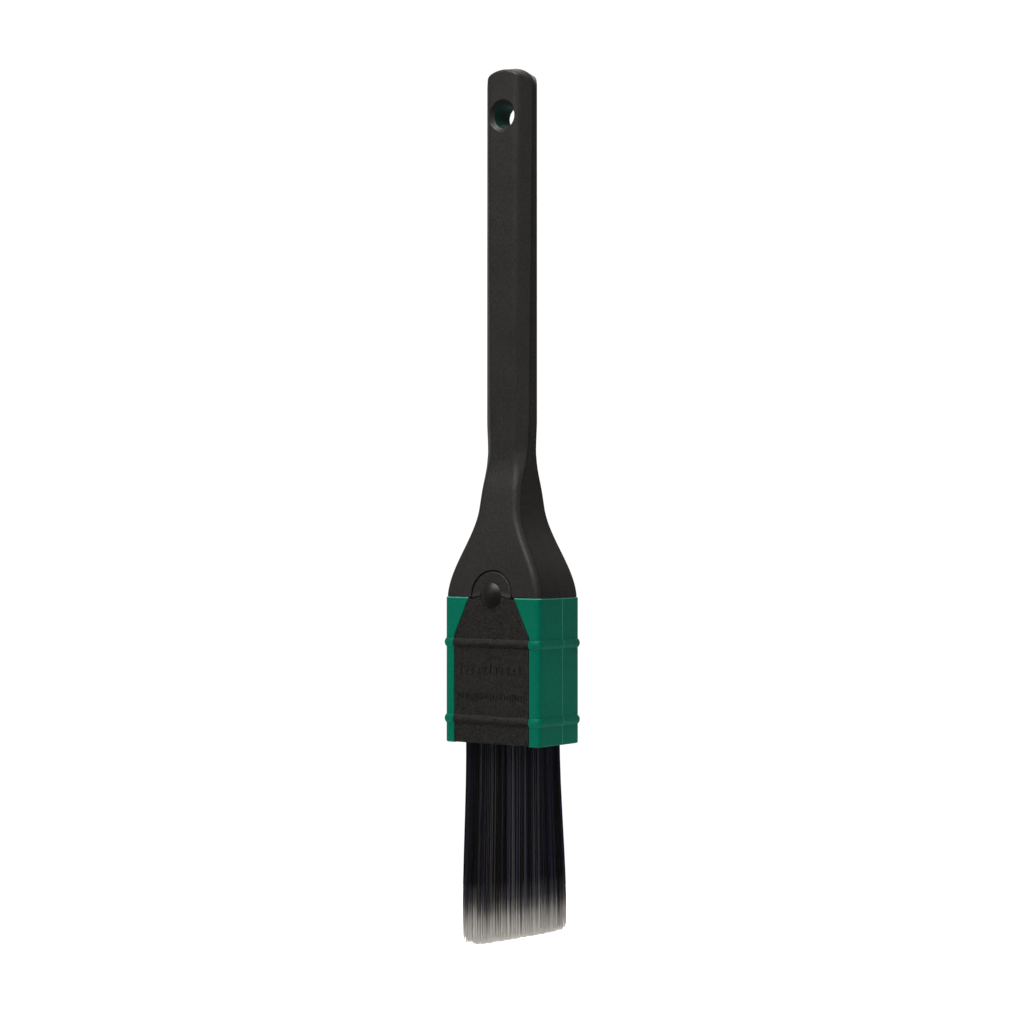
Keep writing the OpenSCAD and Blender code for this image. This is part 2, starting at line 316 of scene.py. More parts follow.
def round_open_corners(corners, radii, segments=5, flat_steps=6):
    """An open outline with round inner corners, its straight stretches divided evenly."""
    first, *inner, last = corners
    arcs = [corner_arc(corners[k], corner, corners[k + 2], radii[k], segments)
            for k, corner in enumerate(inner)]
    outline = [np.array(first, float)]
    for arc in arcs + [[np.array(last, float)]]:
        start = outline[-1]
        outline += [mix(start, arc[0], t) for t in np.linspace(0, 1, flat_steps + 1)[1:-1]]
        outline += arc
    return outline


# --- the handle


def grip_section(z):
    """Half width, half depth, and corner cuts across and deep of the grip."""
    drawn = DRAW_IN * smooth((GRIP_END_Z + DRAW_LENGTH - z) / DRAW_LENGTH)
    return mix(GRIP_BASE, GRIP_TOP, (z - GRIP_END_Z) / -GRIP_END_Z) - [drawn, 0, 0, 0]


def flare_section(t):
    """The same of the flare, at a share of its length."""
    spread = FERRULE_HALF_W - NECK[0] - FLARE_SPREAD / 2
    deepen = FERRULE_HALF_D - NECK[1]
    shoulder = smooth((t - FLARE_START) / (FLARE_END - FLARE_START))
    return np.array([NECK[0] + FLARE_SPREAD / 2 * t + spread * shoulder,
                     NECK[1] + deepen * t + FLARE_BOW / 2 * t * (1 - t),
                     NECK[2], NECK[3]])


def flare_share(z):
    """How far down the flare a height is, from 0 to 1, easing in around the neck."""
    past = NECK_Z + FLARE_EASE - z
    if past < 2 * FLARE_EASE:
        return max(past, 0) ** 2 / (4 * FLARE_EASE) / (NECK_Z - SHOULDER_Z)
    return (NECK_Z - z) / (NECK_Z - SHOULDER_Z)


def section(z):
    """The same of the whole handle at a height, its stretches blended."""
    if z >= GRIP_END_Z:
        shape = grip_section(z)
    elif z > NECK_Z:
        shape = mix(grip_section(GRIP_END_Z), flare_section(flare_share(z)),
                    smooth((GRIP_END_Z - z) / WAIST_LENGTH))
    else:
        shape = flare_section(flare_share(z))
    deepening = smooth((GRIP_END_Z + CUT_FADE_ABOVE - z) / DEEPENING_LENGTH)
    if 0 < deepening < 1:
        shape[1] = mix(grip_section(max(z, GRIP_END_Z))[1],
                       flare_section(flare_share(z))[1], deepening)
    fade = smooth((GRIP_END_Z + CUT_FADE_ABOVE - z) / CUT_FADE_LENGTH)
    if 0 < fade < 1:
        cuts = mix(grip_section(max(z, GRIP_END_Z))[2:], NECK[2:], fade)
        shape[0] += CUT_FADE_WIDENING * (cuts[1] - shape[3])
        shape[2:] = cuts
    return shape


def top_height(share, rise, power):
    """Height of a round-topped outline above its start, at a share of its half width."""
    return rise * max(1 - abs(share) ** power, 0) ** (1 / power)


def flare_amount(z):
    """How far the grip has turned into the flare at a height, from 0 to 1."""
    return smooth((GRIP_END_Z - z) / (GRIP_END_Z - SHOULDER_Z))


def seam_width(z):
    """Half width of the groove between the two grip shells."""
    return mix(SEAM, SEAM_OPEN, smooth((SHOULDER_Z + SEAM_OPEN_LENGTH - z) / SEAM_FADE))


def front_outline(z):
    """Front half of the rounded eight-sided section, from its right side to its left."""
    w, d, cut_x, cut_y = section(z)
    flare = flare_amount(z)
    draft = SIDE_DRAFT * flare
    corners = mirrored([(w, -0.01), (w - draft, cut_y - d), (w - cut_x, -d)])
    side_round = mix(SIDE_ROUND, SIDE_ROUND_LOW, flare)
    face_round = mix(FACE_ROUND, FACE_ROUND_LOW, flare)
    return round_open_corners(corners, [side_round, face_round, face_round, side_round])


def top_ring(outline, share):
    """One ring of the round top: the section's outline drawn in to a share of its width.

    Its front lies on the section's own faces, and its sides slope up to the parting plane.
    """
    full_w = outline[0][0]
    corner = next(k for k, (x, y) in enumerate(outline) if x < SIDE_WALL_SHARE * full_w)
    last = len(outline) - 1
    face = outline[corner:last - corner + 1][::-1]
    xs, depths = [x for x, y in face], [-y for x, y in face]
    middle_z = ROUND_START_Z + top_height(share, MIDDLE_RISE, MIDDLE_POWER)
    front_z = ROUND_START_Z + top_height(share, FRONT_RISE, FRONT_POWER)
    ring = []
    for k, (x, y) in enumerate(outline):
        new_x = x * share
        from_edge = (top_height(new_x / full_w, FRONT_RISE, FRONT_POWER)
                     + ROUND_START_Z - front_z) * math.sqrt(1 - (TOP_SLOPE * new_x / full_w) ** 2)
        depth = float(np.interp(new_x, xs, depths))
        reach = TOP_EDGE_ROUND * smooth(2.5 * (1 - share)) if share < 1 else 0.0
        if from_edge < reach:
            depth -= reach - math.sqrt(max(reach ** 2 - (reach - from_edge) ** 2, 0))
        down = 1.0
        if min(k, last - k) < corner:
            down = abs(y) / abs(outline[corner][1])
            depth *= down
        ring.append((new_x, -depth, mix(middle_z, front_z, down)))
    return ring


def closed_half(points, z_of, seam, side):
    """Closes a half outline along the parting plane with a small groove on each edge."""
    w, left_z, right_z = points[0][0], z_of[-1], z_of[0]
    inner = [(x, y, z) for (x, y), z in zip(points[1:-1], z_of[1:-1])]
    edge = min(seam, 0.4 * w)
    ring = [(w, -seam, right_z)] + inner + [(-w, -seam, left_z)]
    ring += [(-w + 0.8 * edge, PARTING_Y, left_z), (w - 0.8 * edge, PARTING_Y, right_z)]
    return [(x, side * y, z) for x, y, z in ring]


def outside_rings(side):
    """Rings of one grip shell's outside, from its foot to its top."""
    heights = joined(steps(SHOULDER_Z + FOOT_CHAMFER, NECK_Z, 1.0), steps(NECK_Z, GRIP_END_Z, 0.35),
                     steps(GRIP_END_Z, GRIP_END_Z + DRAW_LENGTH, 1.0),
                     steps(GRIP_END_Z + DRAW_LENGTH, ROUND_START_Z, 5.0))
    foot = front_outline(SHOULDER_Z)
    w, d = foot[0][0], max(-y for x, y in foot)
    foot = [(x * (1 - FOOT_CHAMFER / w), y * (1 - FOOT_CHAMFER / d)) for x, y in foot]
    rings = [closed_half(foot, [SHOULDER_Z] * len(foot), seam_width(SHOULDER_Z), side)]
    for z in heights:
        outline = front_outline(z)
        rings.append(closed_half(outline, [z] * len(outline), seam_width(z), side))
    outline = front_outline(ROUND_START_Z)
    for turn in np.linspace(0, math.pi / 2, TOP_RINGS + 1)[1:]:
        ring = top_ring(outline, max(math.cos(turn), LAST_TOP_SHARE))
        rings.append(closed_half([p[:2] for p in ring], [p[2] for p in ring], SEAM, side))
    return rings


def inner_section(z, wall):
    """Section of the space inside the shells, drawn in by a wall."""
    shape = section(min(max(z, SHOULDER_Z), ROUND_START_Z))
    return shape - wall * np.array([1, 1, INNER_CUT_WALL, INNER_CUT_WALL])


def eight_corners(w, d, cx, cy, z):
    return mirrored([(w - cx, -d, z), (w, cy - d, z), (w, d - cy, z), (w - cx, d, z)])


def cavity():
    """The space inside both grip shells, which the green core fills."""
    wall = GRIP_WALL - CAVITY_CLEARANCE
    radius = CORE_TOP_RADIUS + CAVITY_CLEARANCE
    start_z = CORE_TOP_Z + CAVITY_CLEARANCE - radius
    heights = joined([SHOULDER_Z - 2], steps(SHOULDER_Z, NECK_Z, 2.0),
                     steps(NECK_Z, GRIP_END_Z, 0.7),
                     steps(GRIP_END_Z, GRIP_END_Z + DRAW_LENGTH, 2.2), [start_z])
    rings = [eight_corners(*inner_section(z, wall), z) for z in heights]
    w, d, cut_x, cut_y = inner_section(start_z, wall)
    for turn in np.linspace(0, math.pi / 2, 13)[1:]:
        half_w = w - radius + radius * math.cos(turn)
        cut = max(cut_x - (w - half_w), 0.3)
        rings.append(eight_corners(half_w, d, cut, cut * cut_y / cut_x,
                                   start_z + radius * math.sin(turn)))
    return loft("cavity", rings)


def hole_cutter():
    """The hanging hole with its countersinks and their rounded lips."""
    face = section(0)[1]
    bottom = face - GRIP_WALL
    half = [(HOLE_RADIUS, bottom), (HOLE_RADIUS + 0.25, bottom + 0.12),
            (SINK_RADIUS - 0.12, face - 0.22), (SINK_RADIUS, face - 0.1),
            (SINK_RADIUS + 0.16, face), (SINK_RADIUS + 0.5, face + 0.12),
            (SINK_RADIUS + 0.5, face + 20)]
    profile = [(r, -y) for r, y in reversed(half)] + half
    return lathe("hole", profile)


# --- plate outline

ARC_STEPS = 24
TAPER_STEPS = 24
EDGE_SPREAD = 1.6
UPRIGHT_TOP_Z = SHOULDER_Z - 13.5


def outline_side(gap, low_z, upright_heights=(), step_z=CREASE_Z):
    """Right-hand half of the plate's outline grown by a gap, from its foot to its top.

    It has an upright side, a taper up to a small shoulder, and a half round top.
    """
    radius = TONGUE_RADIUS + gap * (EDGE_SPREAD if gap < 0 else 1)
    half = PLATE_HALF_W + gap
    line_x = TONGUE_RADIUS * math.cos(TAPER) + gap / math.cos(TAPER)
    line_z = BUTTON_Z + TONGUE_RADIUS * math.sin(TAPER)
    shoulder_z = step_z + min(gap, 0)
    shoulder_x = line_x + (line_z - shoulder_z) * math.tan(TAPER)
    taper_z = line_z - (half - line_x) / math.tan(TAPER)
    points = [(half, low_z)]
    points += [(half, z) for z in upright_heights if z < UPRIGHT_TOP_Z]
    for k in range(TAPER_STEPS + 1):
        t = (k / TAPER_STEPS) ** 0.6
        points.append((mix(half, shoulder_x, t), mix(taper_z, shoulder_z, t)))
    points += [(radius, z) for z in np.linspace(shoulder_z + 0.05, BUTTON_Z, 6)[:-1]]
    for k in range(ARC_STEPS + 1):
        angle = math.pi / 2 * (k / ARC_STEPS) ** 1.35
        points.append((radius * math.cos(angle), BUTTON_Z + radius * math.sin(angle)))
    return points


def full_outline(side):
    """The whole outline, from its right-hand half, whose last point is on the middle."""
    return side + [(-x, z) for x, z in reversed(side[:-1])]


def front_surface_y(z):
    """Depth of the handle's front face at a height."""
    return -section(max(z, SHOULDER_Z))[1]


def tongue_cutter():
    """The recess for the plate's round upper end, with a small bevel round its mouth."""
    low_z = SHOULDER_Z - 16
    step_z = CREASE_Z - 0.5
    narrow = full_outline(outline_side(TONGUE_GAP, low_z, step_z=step_z))
    wide = full_outline(outline_side(TONGUE_GAP + 0.25, low_z, step_z=step_z))
    rings = [[(x, TONGUE_FLOOR_Y, z) for x, z in narrow],
             [(x, front_surface_y(z) + 0.25, z) for x, z in narrow],
             [(mix(a[0], b[0], 0.35), front_surface_y(a[1]) + 0.07, mix(a[1], b[1], 0.35))
              for a, b in zip(narrow, wide)],
             [(x, front_surface_y(z) - 0.02, z) for x, z in wide],
             [(x, FRONT_Y - 15, z) for x, z in wide]]
    return loft("tongue_space", rings)


def boss_cutter():
    """Room for the boss behind the button."""
    return lathe("boss_space", [(BOSS_SPACE_RADIUS, BOSS_SPACE_Y),
                                (BOSS_SPACE_RADIUS, FRONT_Y - 5)], BUTTON_Z, 64)


def grip_shell(name, node, side):
    """One half of the handle's cover: side 1 is the front and -1 the back."""
    shell = loft(name, outside_rings(side))
    cutters = [cavity(), hole_cutter()]
    if side > 0:
        cutters += [tongue_cutter(), boss_cutter()]
    carve(shell, cutters)
    even_normals(shell)
    shell.data.materials.append(grip_plastic())
    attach(shell, "handle")
    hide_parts(node)


# --- the ferrule

FERRULE_RADIUS = 2.3
FERRULE_WALL = 1.8
FLASH_Y = 1.5
FLASH_HALF_W = 0.14
FLASH_PROUD = 0.08
FLASH_FULL = 9
FLASH_FADE = 12
COLLAR_WALL = 1.5
FLOOR_Z = FERRULE_BOTTOM_Z + 2
FOOT_ROUND = 0.5
RIM_ROUND = 0.35
ROUND_STEPS = 6
WINDOW_BEVEL = (0.1, 0.32)


def rib_height_at(z, middle):
    """How far one rib stands proud at a height; its section is part of a circle."""
    radius = (RIB_HEIGHT ** 2 / 4 + RIB_PROUD ** 2) / (2 * RIB_PROUD)
    off = abs(z - middle)
    if off < RIB_HEIGHT / 2:
        return max(math.sqrt(radius ** 2 - off ** 2) - radius + RIB_PROUD, 0)
    return 0.0


def ribs_at(z):
    """The same of both ribs."""
    return max(rib_height_at(z, UPPER_RIB_Z), rib_height_at(z, LOWER_RIB_Z))


def rib_heights():
    """Heights that follow both ribs closely."""
    offsets = [math.sin(a) * RIB_HEIGHT / 2 for a in np.linspace(-math.pi / 2, math.pi / 2, 17)]
    return sorted(middle + off for middle in (LOWER_RIB_Z, UPPER_RIB_Z) for off in offsets)


def ferrule_ring(grow, z, flash=0.0):
    """The ferrule's outline at a height, grown all round."""
    return rect_ring(FERRULE_HALF_W + grow, FERRULE_HALF_D + grow, z, FERRULE_RADIUS + grow,
                     SIDE_DRAFT, flash)


def rect_ring(w, d, z, radius, draft=0.0, flash=0.0):
    """Rounded rectangle with drafted sides that meet at the flash line."""
    corners = mirrored([(w - draft, -d), (w, FLASH_Y - FLASH_HALF_W), (w + flash, FLASH_Y),
                        (w, FLASH_Y + FLASH_HALF_W), (w - draft, d)])
    radii = [radius, 0.02, 0.02, 0.02, radius] * 2
    return [(x, y, z) for x, y in round_corners(corners, radii)]


def ferrule_rings():
    """Rings round the ferrule's wall: up the outside, over the rim and down the inside."""
    bottom, top = FERRULE_BOTTOM_Z, FERRULE_TOP_Z
    rings = [rect_ring(THROAT_HALF_W + 0.25, THROAT_HALF_D + 0.25, bottom, 0.3)]
    turns = np.linspace(0, math.pi / 2, ROUND_STEPS)
    rings += [ferrule_ring(-FOOT_ROUND * (1 - math.sin(a)),
                           bottom + FOOT_ROUND * (1 - math.cos(a))) for a in turns]
    for z in sorted(rib_heights() + steps(bottom + 1.5, top - 1.5, 4.0)):
        fade = 1 - smooth((z - bottom - FLASH_FULL) / FLASH_FADE)
        flash = FLASH_PROUD * (0.5 + 0.9 * fade)
        rings.append(ferrule_ring(ribs_at(z), z, flash))
    rings += [ferrule_ring(-RIM_ROUND * (1 - math.cos(a)), top - RIM_ROUND * (1 - math.sin(a)))
              for a in turns]
    inner_w, inner_d = FERRULE_HALF_W - FERRULE_WALL, FERRULE_HALF_D - FERRULE_WALL
    collar_w, collar_d = THROAT_HALF_W + COLLAR_WALL, THROAT_HALF_D + COLLAR_WALL
    inside = [(inner_w + 0.2, inner_d + 0.2, top, 0.3), (inner_w, inner_d, top - 0.3, 0.2),
              (inner_w, inner_d, FLOOR_Z, 0.2), (collar_w, collar_d, FLOOR_Z, 0.2),
              (collar_w, collar_d, COLLAR_TOP_Z, 0.2),
              (THROAT_HALF_W, THROAT_HALF_D, COLLAR_TOP_Z, 0.1),
              (THROAT_HALF_W, THROAT_HALF_D, bottom + 0.4, 0.1)]
    return rings + [rect_ring(*row) for row in inside]


def window_cutter():
    """The opening in the ferrule's front for the plate, with a small bevel round it."""
    low_z, step_z, heights = FERRULE_BOTTOM_Z - 5, SHOULDER_Z + 0.5, rib_heights()
    narrow, middle, wide = (full_outline(outline_side(WINDOW_GAP + grow, low_z, heights, step_z))
                            for grow in (0, *WINDOW_BEVEL))
    rings = [[(x, FRONT_Y + PLATE_THICK - 0.02, z) for x, z in narrow],
             [(x, FRONT_Y - ribs_at(z) + 0.3, z) for x, z in narrow],
             [(x, FRONT_Y - ribs_at(z) + 0.08, z) for x, z in middle],
             [(x, FRONT_Y - ribs_at(z) - 0.02, z) for x, z in wide],
             [(x, FRONT_Y - 15, z) for x, z in wide]]
    return loft("window", rings)


def ferrule():
    obj = loft("ferrule_sleeve", ferrule_rings(), closed=True)
    carve(obj, [window_cutter()], 40)
    even_normals(obj)
    obj.data.materials.append(green_plastic())
    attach(obj, "head")
    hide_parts("ferrule")


# --- the front plate

PLATE_EDGE = 0.3
PLATE_COLUMNS = 29
CREASE_STEP = 0.3
CREASE_ARCH = 1.1
LEDGE_PROUD = 0.3
LEDGE_HEIGHT = 1.4
BOSS_RADIUS = 6.2
BOSS_BACK_Y = FRONT_Y + 3.7
LIP_Y = FRONT_Y + 1.0
BUTTON_RADIUS = 4.4
BUTTON_HOLE_RADIUS = 4.44
POCKET_RADIUS = 5.3
FLANGE_HIGH_Z = SHOULDER_Z - 16.5
TICK_DEPTH = 0.28
# each row's count, pitch, height, tall ones' spacing, tall, short, drop and width
COARSE_TICKS = (11, 2.5, -24.5, 5, 3.6, 2.6, 0.5, 0.55)
FINE_TICKS = (25, 28 / 24, -33.8, 4, 2.8, 1.8, 0.0, 0.4)


def crease_z(x):
    """Height of the crease where the leaning tongue starts; it arches over the middle."""
    return CREASE_Z + CREASE_ARCH * max(1 - (x / TONGUE_RADIUS) ** 2, 0)


def plate_front_y(x, z):
    """Depth of the plate's front: upright below the crease and leaning back above it."""
    above = z - crease_z(x)
    ledge = 0.0
    if -0.5 < above < 0.0:
        ledge = CREASE_STEP * (1 - abs(above + 0.25) / 0.25)
    elif 0 <= above < LEDGE_HEIGHT and abs(x) < TONGUE_RADIUS:
        ledge = -LEDGE_PROUD * (1 - above / LEDGE_HEIGHT)
    return FRONT_Y + max(0.0, above) * math.tan(TONGUE_LEAN) + ledge - ribs_at(z)


def plate_back_y(_, z):
    return FRONT_Y + PLATE_THICK + max(0.0, z - CREASE_Z) * math.tan(TONGUE_LEAN)


def plate_rings():
    """The plate's outline from the middle of its back, round its edge, to its front face."""
    heights = sorted(rib_heights() + steps(PLATE_FOOT_Z + 1, CREASE_Z, 2.5))
    bands = [(0.25, plate_back_y, 0.0), (0.0, plate_back_y, -0.25),
             (0.0, plate_front_y, PLATE_EDGE)]
    bands += [(PLATE_EDGE * (1 - math.cos(a)), plate_front_y, PLATE_EDGE * (1 - math.sin(a)))
              for a in np.linspace(0, math.pi / 2, ROUND_STEPS)[1:]]
    rings = []
    for inset, face_y, shift in bands:
        side = outline_side(-inset, PLATE_FOOT_Z + inset, heights)
        rings.append([(x, face_y(x, z) + shift, z) for x, z in full_outline(side)])
    return rings


def plate_mesh(rings):
    """Points and faces of the plate, its front a grid fine enough for the crease."""
    count, base = len(rings[0]), (len(rings) - 1) * len(rings[0])
    half = (count - 1) // 2
    points = [point for ring in rings for point in ring]
    faces = loft_faces(len(rings), count)[:-2]
    rows = []
    for k in range(half):
        x, _, z = rings[-1][k]
        inner = [(share * x, plate_front_y(share * x, z), z)
                 for share in np.linspace(1, -1, PLATE_COLUMNS)[1:-1]]
        row = [base + k] + list(range(len(points), len(points) + len(inner)))
        rows.append(row + [base + count - 1 - k])
        points += inner
        left, left_up = count - 1 - k, count - 2 - k
        faces.append([k, k + 1, left_up, left] if k < half - 1 else [k, k + 1, left])
    foot = next(k for k, face in enumerate(faces) if {base, base + count - 1} <= set(face))
    faces[foot] = [base - count, base - 1] + rows[0][::-1]
    for low, high in zip(rows, rows[1:]):
        faces += [[low[c], low[c + 1], high[c + 1], high[c]] for c in range(len(low) - 1)]
    faces += [[rows[-1][c], rows[-1][c + 1], base + half] for c in range(len(rows[-1]) - 1)]
    return points, faces


def block(name, sections):
    """A block along Y, from sections of y, left, right, low and high."""
    return loft(name, [[(left, y, low), (right, y, low), (right, y, high), (left, y, high)]
                       for y, left, right, low, high in sections])


def tick(x, z, height, width):
    """A shallow dash sunk in the plate, drawn as a slim tapered prism."""
    sections = []
    for y, grow in ((FRONT_Y - 1, 0.25), (FRONT_Y + TICK_DEPTH, 0.0)):
        w, h = width / 2 + grow * 0.3, height / 2 + grow * 0.3
        sections.append((y, x - w, x + w, z - h, z + h))
    return block("tick", sections)


def join_objects(name, objects):
    mesh = bpy.data.meshes.new(name)
    with editing(mesh) as bm:
        for obj in objects:
            bm.from_mesh(obj.data)
            bpy.data.objects.remove(obj)
    return add_object(name, mesh)


def tick_row(count, pitch, height, every, tall, short, drop, width):
    """A row of upright dashes, every few of them tall, the short ones set lower by a drop."""
    marks = []
    for k in range(count):
        x, z = pitch * (k - (count - 1) / 2), SHOULDER_Z + height
        is_tall = k % every == 0
        marks.append(tick(x, z if is_tall else z - drop, tall if is_tall else short, width))
    return marks


def tick_marks():
    """Two rows of plain scale marks."""
    return join_objects("ticks", tick_row(*COARSE_TICKS) + tick_row(*FINE_TICKS))


def front_plate():
    """The plate with its inner flange, and the boss and hole that hold the button."""
    plate = make_object("front_panel", *plate_mesh(plate_rings()))
    flip_outwards(plate)
    flange = block("flange", [(FRONT_Y + PLATE_THICK + y, -FLANGE_HALF_W, FLANGE_HALF_W,
                               FLOOR_Z + 0.2, FLANGE_HIGH_Z) for y in (-0.1, 1)])
    boss = lathe("boss", [(BOSS_RADIUS, LIP_Y + 0.2), (BOSS_RADIUS, BOSS_BACK_Y - 0.2),
                          (BOSS_RADIUS - 0.2, BOSS_BACK_Y)], BUTTON_Z, 64)
    combine(plate, [flange, boss], "UNION")
    hole = lathe("hole", [(BUTTON_HOLE_RADIUS, FRONT_Y - 3),
                          (BUTTON_HOLE_RADIUS, LIP_Y + 0.5)], BUTTON_Z)
    pocket = lathe("pocket", [(POCKET_RADIUS, LIP_Y), (POCKET_RADIUS, BOSS_BACK_Y + 1)], BUTTON_Z)
    carve(plate, [hole, pocket, tick_marks()], 32)
    even_normals(plate)
    plate.data.materials.append(textured_plastic())
    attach(plate, "head")
    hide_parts("front_plate")


# --- release button

BUTTON_BASE_Y = FRONT_Y + 0.02
BUTTON_FLANGE_RADIUS = 5.15
BUTTON_TRAVEL = 1.3
BUTTON_FLANGE_Y = RETAINER_FRONT_Y - BUTTON_TRAVEL - 0.04
STUB_RADIUS = 2.9


def dome_profile():
    """Half section of the button: a round dome on a short rim, with its flange and stub."""
    height = BUTTON_BASE_Y - BUTTON_APEX_Y
    radius = (BUTTON_RADIUS ** 2 + height ** 2) / (2 * height)
    reach = math.asin(BUTTON_RADIUS / radius)
    dome = [(radius * math.sin(a), BUTTON_APEX_Y + radius * (1 - math.cos(a)))
            for a in np.linspace(0.01, reach, 20)]
    return dome + [(BUTTON_RADIUS, LIP_Y + 0.02),
                   (BUTTON_FLANGE_RADIUS, LIP_Y + 0.02), (BUTTON_FLANGE_RADIUS, BUTTON_FLANGE_Y),
                   (STUB_RADIUS, BUTTON_FLANGE_Y), (STUB_RADIUS, STUB_Y - 0.15),
                   (STUB_RADIUS - 0.15, STUB_Y), (0.02, STUB_Y)]


def release_button():
    dome = lathe("domed_button", dome_profile(), BUTTON_Z)
    even_normals(dome)
    dome.data.materials.append(button_plastic())
    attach(dome, "button")
    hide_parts("release_button")


# --- the bristles

COLUMNS = 112
ROWS = 40
CLUMP_COLUMNS = 30
CLUMP_ROWS = 9
FILAMENT_RADIUS = 0.115
FILAMENT_SIDES = 5
MOUTH_Z = FERRULE_BOTTOM_Z
PATH_SHARES = np.array([0, 0.08, 0.22, 0.4, 0.56, 0.7, 0.79, 0.84, 0.89, 0.95, 1.0])
PALE_STEPS = [-6.5, -1.2, 2.5, 9], [0, 0.15, 0.62, 1]
TAPER_TO_TIP = [0, 0.75, 0.9, 1], [1, 1, 0.9, 0.45]
SHORT_TIP_Z = LONG_TIP_Z + 6.3
CUT_START_X = -9.5
PALE_LENGTH = 11.2
BRISTLE_SHIFT = 0.35
BRISTLE_LEAN = 0.6
BRISTLE_FLARE = 1.35
TIP_RAGGED = 0.4
RAGGED_LIMIT = 2.6
LEFT_FRAY = 3.2
CLUMP_RAGGED = 0.3
WAVE = 0.07
HEART_INSET = 1.3
HEART_END = 0.7


def spread_at(t):
    """Half width and half depth of the bristle pack, t from its mouth to its tips."""
    swell = BRISTLE_FLARE * smooth(t / 0.95)
    return THROAT_HALF_W - 0.2 + swell, THROAT_HALF_D - 0.15 + swell


def cut_line(across):
    """Height of the angled cut, level at first and then rising to the short side."""
    half_w = spread_at(1)[0]
    x = BRISTLE_LEAN + across * half_w
    rise = (SHORT_TIP_Z - LONG_TIP_Z) / (half_w - CUT_START_X)
    return LONG_TIP_Z + 0.1 + rise * np.maximum(x - CUT_START_X, 0)


def tip_heights(across, deep, rng):
    """Height of each filament's tip along the angled cut, a little ragged."""
    ragged = np.minimum(rng.exponential(TIP_RAGGED, across.size), RAGGED_LIMIT)
    left_fray = np.clip((-0.8 - across) / 0.2, 0, 1) * rng.uniform(0, LEFT_FRAY, across.size)
    return cut_line(across) + ragged + left_fray + 0.3 * deep ** 2


def jittered_grid(columns, rows, jitter, rng):
    """Places on a grid from -1 to 1 each way, each moved a little at random."""
    u, v = np.meshgrid((np.arange(columns) + 0.5) / columns, (np.arange(rows) + 0.5) / rows)
    u = u + rng.uniform(-jitter, jitter, u.shape) / columns
    v = v + rng.uniform(-jitter, jitter, v.shape) / rows
    return np.clip(2 * u.ravel() - 1, -1, 1), np.clip(2 * v.ravel() - 1, -1, 1)


def nearest_clump(across, deep, clump_u, clump_v):
    """Index of the clump that each filament belongs to."""
    du = (across[:, None] - clump_u[None, :]) * THROAT_HALF_W
    dv = (deep[:, None] - clump_v[None, :]) * THROAT_HALF_D
    return np.argmin(du ** 2 + dv ** 2, axis=1)


def clumped_offset(rng, clump, shared, own):
    """A random offset for each filament: one for its clump, and one of its own."""
    offsets = rng.normal(0, shared, CLUMP_COLUMNS * CLUMP_ROWS)[clump]
    return offsets + rng.normal(0, own, clump.size)


def clumped_share(rng, clump):
    """A random share for each filament, half of it its clump's."""
    shares = rng.random(CLUMP_COLUMNS * CLUMP_ROWS)[clump]
    return 0.5 * shares + 0.5 * rng.random(clump.size)


def roots(mouth):
    """Where filaments start in the head: just below the spacer or the resin."""
    points = mouth.copy()
    under = (np.abs(mouth[:, 0]) < SPACER_HALF_W + 0.3) & (
        np.abs(mouth[:, 1]) < SPACER_HALF_D + 0.2)
    points[:, 2] = np.where(under, SPACER_BOTTOM_Z - 0.3, EPOXY_BOTTOM_Z - 0.1)
    return points


def filament_paths(rng):
    """Centre lines of all filaments, with what their colour needs."""
    across, deep = jittered_grid(COLUMNS, ROWS, 0.45, rng)
    clump_u, clump_v = jittered_grid(CLUMP_COLUMNS, CLUMP_ROWS, 0.4, rng)
    clump = nearest_clump(across, deep, clump_u, clump_v)
    tips = tip_heights(across, deep, rng)
    tips = tips + np.abs(rng.normal(0, CLUMP_RAGGED, clump_u.size))[clump]
    drift = clumped_offset(rng, clump, 0.22, 0.14)
    drift_y = clumped_offset(rng, clump, 0.2, 0.15)
    pull = np.clip(rng.normal(0.1, 0.06, clump_u.size), 0, 0.25)[clump]
    phase = rng.uniform(0, 2 * math.pi, across.size)
    paths = np.zeros((PATH_SHARES.size + 1, across.size, 3))
    for k, t in enumerate(PATH_SHARES):
        gather = pull * t ** 1.5
        u = across + (clump_u[clump] - across) * gather
        v = deep + (clump_v[clump] - deep) * gather
        half_w, half_d = spread_at(t)
        wave = WAVE * np.sin(phase + 5 * t) * t
        paths[k + 1, :, 0] = BRISTLE_SHIFT + BRISTLE_LEAN * t + u * half_w + (drift + wave) * t
        paths[k + 1, :, 1] = v * half_d + drift_y * t
        paths[k + 1, :, 2] = MOUTH_Z + (tips - MOUTH_Z) * t
    paths[0] = roots(paths[1])
    tone, blue = clumped_share(rng, clump), clumped_share(rng, clump)
    fade_z = cut_line(across) + PALE_LENGTH - 1.1 * across
    return paths, tone, blue, fade_z + clumped_offset(rng, clump, 0.7, 1.7)


